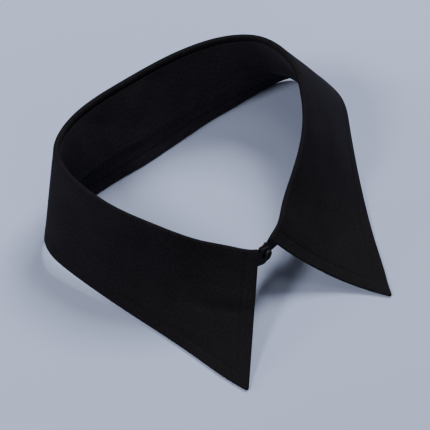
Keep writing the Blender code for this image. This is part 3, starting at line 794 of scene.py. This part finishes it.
band_channel = np.exp(-((band_from_low - EDGE_STITCH_IN) / EDGE_CHANNEL_WIDTH) ** 2)
band_half = band_half - EDGE_CHANNEL_DEPTH * band_channel * (band_half > 0.4 * MM)
band_outer = band_grid + band_half[..., None] * band_normal
band_inner = band_grid - band_half[..., None] * band_normal
band = skins_mesh("band_cloth", band_outer + SHIFT, band_inner + SHIFT, band_along, band_from_low)
# The band's cloth is the leaf's shirting made two to three times lighter: painted light on the inside of
# the neck.
BAND_COTTON_PAINTED_LIGHT = cotton_material("band_cotton", (0.0084, 0.0074, 0.0094), (0.0360, 0.0318, 0.0402), 0.013)
band.data.materials.append(BAND_COTTON_PAINTED_LIGHT)
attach(band, "root")
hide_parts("band")

# Edge stitching of the band: a thread close above the lower edge, from one end to the other, lightened to
# grey as a painted highlight.
# It holds the turned-in edges of both layers together and shows on both faces.
EDGE_STITCH_COLUMN = int(np.argmin(np.abs(BAND_SHARES_FROM_EDGE - EDGE_STITCH_IN)))
EDGE_STITCH_SHORT = 14.0
band_thread_mesh = bmesh.new()
edge_rows = np.arange(EDGE_STITCH_SHORT, len(BAND_PLACES) - EDGE_STITCH_SHORT)
edge_columns = np.full(len(edge_rows), band_grid.shape[1] - 1.0 - EDGE_STITCH_COLUMN)
for skin, facing in ((band_outer, 1.0), (band_inner, -1.0)):
    path = grid_points(skin + SHIFT, edge_rows, edge_columns)
    lift = facing * grid_points(band_normal, edge_rows, edge_columns)
    add_stitches(band_thread_mesh, path, lift, THREAD_RADIUS, STITCH_LENGTH)
band_thread = mesh_object("band_edge_stitching", band_thread_mesh)
# Its grey is lighter than the leaf's black thread: a painted highlight along the band's lower edge.
EDGE_THREAD_PAINTED_HIGHLIGHT = thread_material("grey_thread_painted_highlight", (0.034, 0.030, 0.038))
band_thread.data.materials.append(EDGE_THREAD_PAINTED_HIGHLIGHT)
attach(band_thread, "root")

# Button: a small black plastic button with a raised rim and four holes, worn to a soft gloss.
# It is the solid of the part's own frame, and only its finish is made here.
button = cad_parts["button"]


def button_material():
    """Black button plastic, evenly scuffed so that its gloss is broken up."""
    material = bpy.data.materials.new("button_plastic")
    material.use_nodes = True
    tree = material.node_tree
    shader = tree.nodes["Principled BSDF"]
    place = node(tree, "ShaderNodeTexCoord")
    scuff = node(tree, "ShaderNodeTexNoise", noise_dimensions="3D")
    scuff.inputs["Scale"].default_value = 1500.0
    scuff.inputs["Detail"].default_value = 4.0
    tree.links.new(place.outputs["Object"], scuff.inputs["Vector"])
    blend = node(tree, "ShaderNodeMix", data_type="RGBA")
    blend.inputs["A"].default_value = (0.006, 0.006, 0.007, 1.0)
    blend.inputs["B"].default_value = (0.018, 0.018, 0.02, 1.0)
    tree.links.new(scuff.outputs["Fac"], blend.inputs["Factor"])
    tree.links.new(blend.outputs["Result"], shader.inputs["Base Color"])
    tree.links.new(math_node(tree, "ADD", 0.46, math_node(tree, "MULTIPLY", scuff.outputs["Fac"], 0.2)),
                   shader.inputs["Roughness"])
    shader.inputs["Specular IOR Level"].default_value = 0.18
    return material


button.data.materials.clear()
button.data.materials.append(button_material())

# Button thread: the band's edge thread with its painted-highlight grey, in two doubled strands, one over
# each pair of holes.
# Its ends run down through the holes into the band behind the button.
BUTTON_THREAD_RADIUS = 0.12 * MM
STRAND_APART = 0.13 * MM
HOLE_FROM_MIDDLE = 0.7 * MM
BUTTON_GAP = 0.3 * MM
SOLID_BAND_BELOW_LEG = 0.4 * MM
STRAND_ACROSS = np.array([-1.0, -1.0, -0.96, -0.72, -0.35, 0.0, 0.35, 0.72, 0.96, 1.0, 1.0])
STRAND_HEIGHT = np.array([-0.5, 0.6, 1.05, 1.28, 1.38, 1.42, 1.38, 1.28, 1.05, 0.6, -0.5]) * MM
front = np.array([MIDDLE])
button_facing = outward(front)[0]
button_up = np.array([0.0, 0.0, 1.0])
button_aside = np.cross(button_up, button_facing)
below_crest = INNER_LEG + SOLID_BAND_BELOW_LEG - TAB_RISE + 0.5 * around("drop", front)[0]
crest = np.array([around(name, front)[0] for name in ("fold_x", "fold_y", "fold_z")])
proud = 0.5 * (BAND_THICKNESS + SEAM_GAP) - ROLL_RADIUS + 0.5 * BAND_THICKNESS + BUTTON_GAP
button_back = crest - below_crest * button_up + proud * button_facing + SHIFT


def add_tube(mesh, middle, radius, sides, beside):
    """A closed thread of even thickness along a path of points that never runs the way of beside."""
    run = unit(np.gradient(middle, axis=0))
    aside = unit(np.cross(run, beside))
    lift = np.cross(aside, run)
    rings = []
    for k in range(len(middle)):
        turns = [2.0 * pi * m / sides for m in range(sides)]
        rings.append([mesh.verts.new(middle[k] + radius * (cos(turn) * aside[k] + sin(turn) * lift[k]))
                      for turn in turns])
    for one, other in zip(rings, rings[1:]):
        for m in range(sides):
            n = (m + 1) % sides
            mesh.faces.new((one[m], other[m], other[n], one[n]))
    mesh.faces.new(rings[0])
    mesh.faces.new(rings[-1][::-1])


strands = bmesh.new()
for hole_row in (-HOLE_FROM_MIDDLE, HOLE_FROM_MIDDLE):
    for strand in (-STRAND_APART, STRAND_APART):
        path = (button_back + HOLE_FROM_MIDDLE * STRAND_ACROSS[:, None] * button_aside
                + (hole_row + strand) * button_up + STRAND_HEIGHT[:, None] * button_facing)
        add_tube(strands, path, BUTTON_THREAD_RADIUS, 8, button_up)
button_thread = mesh_object("button_thread", strands)
button_thread.data.materials.append(EDGE_THREAD_PAINTED_HIGHLIGHT)
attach(button_thread, "root")

# Buttonhole: close stitches on both sides of a slit in the band's outer end, and a bar across each end of
# the slit. The button covers about half of it.
BUTTONHOLE_FROM = MIDDLE - 2.3 * MM
BUTTONHOLE_TO = MIDDLE + 3.6 * MM
BUTTONHOLE_STITCHES = 23
BUTTONHOLE_SLIT = 0.14 * MM
BUTTONHOLE_LIP = 0.85 * MM
BUTTONHOLE_BAR = 0.95 * MM
BUTTONHOLE_BAR_BEYOND = 0.1 * MM
BUTTONHOLE_THREAD_RADIUS = 0.13 * MM
BUTTONHOLE_BAR_RADIUS = 1.6 * BUTTONHOLE_THREAD_RADIUS
BUTTONHOLE_LIFT = np.array([0.0, 0.08, 0.12, 0.08, 0.0]) * MM


def on_outer_end(place, down):
    """Points on the outer face of the band's outer end, below and above its middle line."""
    row = np.interp(place, BAND_PLACES, np.arange(len(BAND_PLACES)))
    near = int(round(row))
    half = 0.5 * (band_from_top[near, 0] + band_from_top[near, -1])
    column = np.interp(half + down, band_from_top[near], np.arange(band_grid.shape[1]))
    rows = np.full(len(down), row)
    return (grid_points(band_outer + SHIFT, rows, column)
            + BUTTONHOLE_LIFT[:, None] * grid_points(band_normal, rows, column))


work = bmesh.new()
for place in np.linspace(BUTTONHOLE_FROM, BUTTONHOLE_TO, BUTTONHOLE_STITCHES):
    for low_end, high_end in ((-BUTTONHOLE_LIP, -BUTTONHOLE_SLIT), (BUTTONHOLE_SLIT, BUTTONHOLE_LIP)):
        path = on_outer_end(place, np.linspace(low_end, high_end, len(BUTTONHOLE_LIFT)))
        add_tube(work, path, BUTTONHOLE_THREAD_RADIUS, 6, button_aside)
for place in (BUTTONHOLE_FROM - BUTTONHOLE_BAR_BEYOND, BUTTONHOLE_TO + BUTTONHOLE_BAR_BEYOND):
    path = on_outer_end(place, np.linspace(-BUTTONHOLE_BAR, BUTTONHOLE_BAR, len(BUTTONHOLE_LIFT)))
    add_tube(work, path, BUTTONHOLE_BAR_RADIUS, 8, button_aside)
buttonhole = mesh_object("buttonhole_stitching", work)
buttonhole.data.materials.append(EDGE_THREAD_PAINTED_HIGHLIGHT)
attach(buttonhole, "root")

# Tabletop: the plain pale surface that the collar stands on, a matt painted board.
# It lies just under the hem, so that the two faces don't flicker through each other.
FLOOR_SIZE = 3.0
FLOOR_BELOW_HEM = 0.05 * MM
floor_mesh = bmesh.new()
bmesh.ops.create_grid(floor_mesh, x_segments=1, y_segments=1, size=0.5 * FLOOR_SIZE)
floor = mesh_object("tabletop", floor_mesh)
floor.location.z = cad_low[2] - FLOOR_BELOW_HEM


def floor_material():
    material = bpy.data.materials.new("painted_board")
    material.use_nodes = True
    tree = material.node_tree
    shader = tree.nodes["Principled BSDF"]
    shader.inputs["Base Color"].default_value = (0.53, 0.605, 0.86, 1.0)
    shader.inputs["Roughness"].default_value = 0.8
    shader.inputs["Specular IOR Level"].default_value = 0.2
    return material


floor.data.materials.append(floor_material())

# Studio light: a large soft box behind on the right, smaller ones on the left, low on the left and
# overhead, and a weak fill in front. azimuth: from +X toward +Y. share: of the light on the table.
LIGHTS = (
    {"name": "soft_box_right", "azimuth": 36.0, "elevation": 45.0, "size": 0.45, "share": 0.56},
    {"name": "soft_box_left", "azimuth": 172.0, "elevation": 45.0, "size": 0.32, "share": 0.25},
    {"name": "soft_box_low_left", "azimuth": 150.0, "elevation": 20.0, "size": 0.30, "share": 0.08},
    {"name": "soft_box_above", "azimuth": 50.0, "elevation": 76.0, "size": 0.45, "share": 0.07},
    {"name": "front_fill", "azimuth": -100.0, "elevation": 22.0, "size": 0.60, "share": 0.045},
)
LIGHT_DISTANCE = 1.3
LIGHT_ON_TABLE = 18.5
for light in LIGHTS:
    azimuth = radians(light["azimuth"])
    elevation = radians(light["elevation"])
    lamp = bpy.data.lights.new(light["name"], "AREA")
    lamp.shape = "SQUARE"
    lamp.size = light["size"]
    lamp.energy = LIGHT_ON_TABLE * light["share"] / sin(elevation)
    toward = Vector((cos(elevation) * cos(azimuth), cos(elevation) * sin(azimuth), sin(elevation)))
    holder = bpy.data.objects.new(light["name"], lamp)
    holder.location = toward * LIGHT_DISTANCE
    holder.rotation_euler = toward.to_track_quat("Z", "Y").to_euler()
    bpy.context.scene.collection.objects.link(holder)
world = bpy.data.worlds.new("room")
world.use_nodes = True
world.node_tree.nodes["Background"].inputs["Color"].default_value = (0.85, 0.9, 1.0, 1.0)
world.node_tree.nodes["Background"].inputs["Strength"].default_value = 0.016
bpy.context.scene.world = world

# Camera: a long lens looking down at the collar from the wearer's right front, at the photograph's angle.
# Its place is in millimetres from the neck line's own zero.
CAMERA_PLACE = (-516.2, -891.7, 1300.6)
CAMERA_RIGHT = (0.85925013, -0.51122423, -0.01841208)
CAMERA_UP = (0.4088347, 0.66463295, 0.62539366)
CAMERA_BACK = (-0.30747912, -0.54489708, 0.78009215)
FIELD_OF_VIEW = 7.153
lens = bpy.data.cameras.new("camera")
lens.angle = radians(FIELD_OF_VIEW)
lens.clip_start = 0.1
lens.clip_end = 20.0
camera = bpy.data.objects.new("camera", lens)
place = Vector(CAMERA_PLACE) * MM + Vector(SHIFT)
turned = Matrix((CAMERA_RIGHT, CAMERA_UP, CAMERA_BACK)).transposed().to_4x4()
camera.matrix_world = Matrix.Translation(place) @ turned
bpy.context.scene.collection.objects.link(camera)
bpy.context.scene.camera = camera
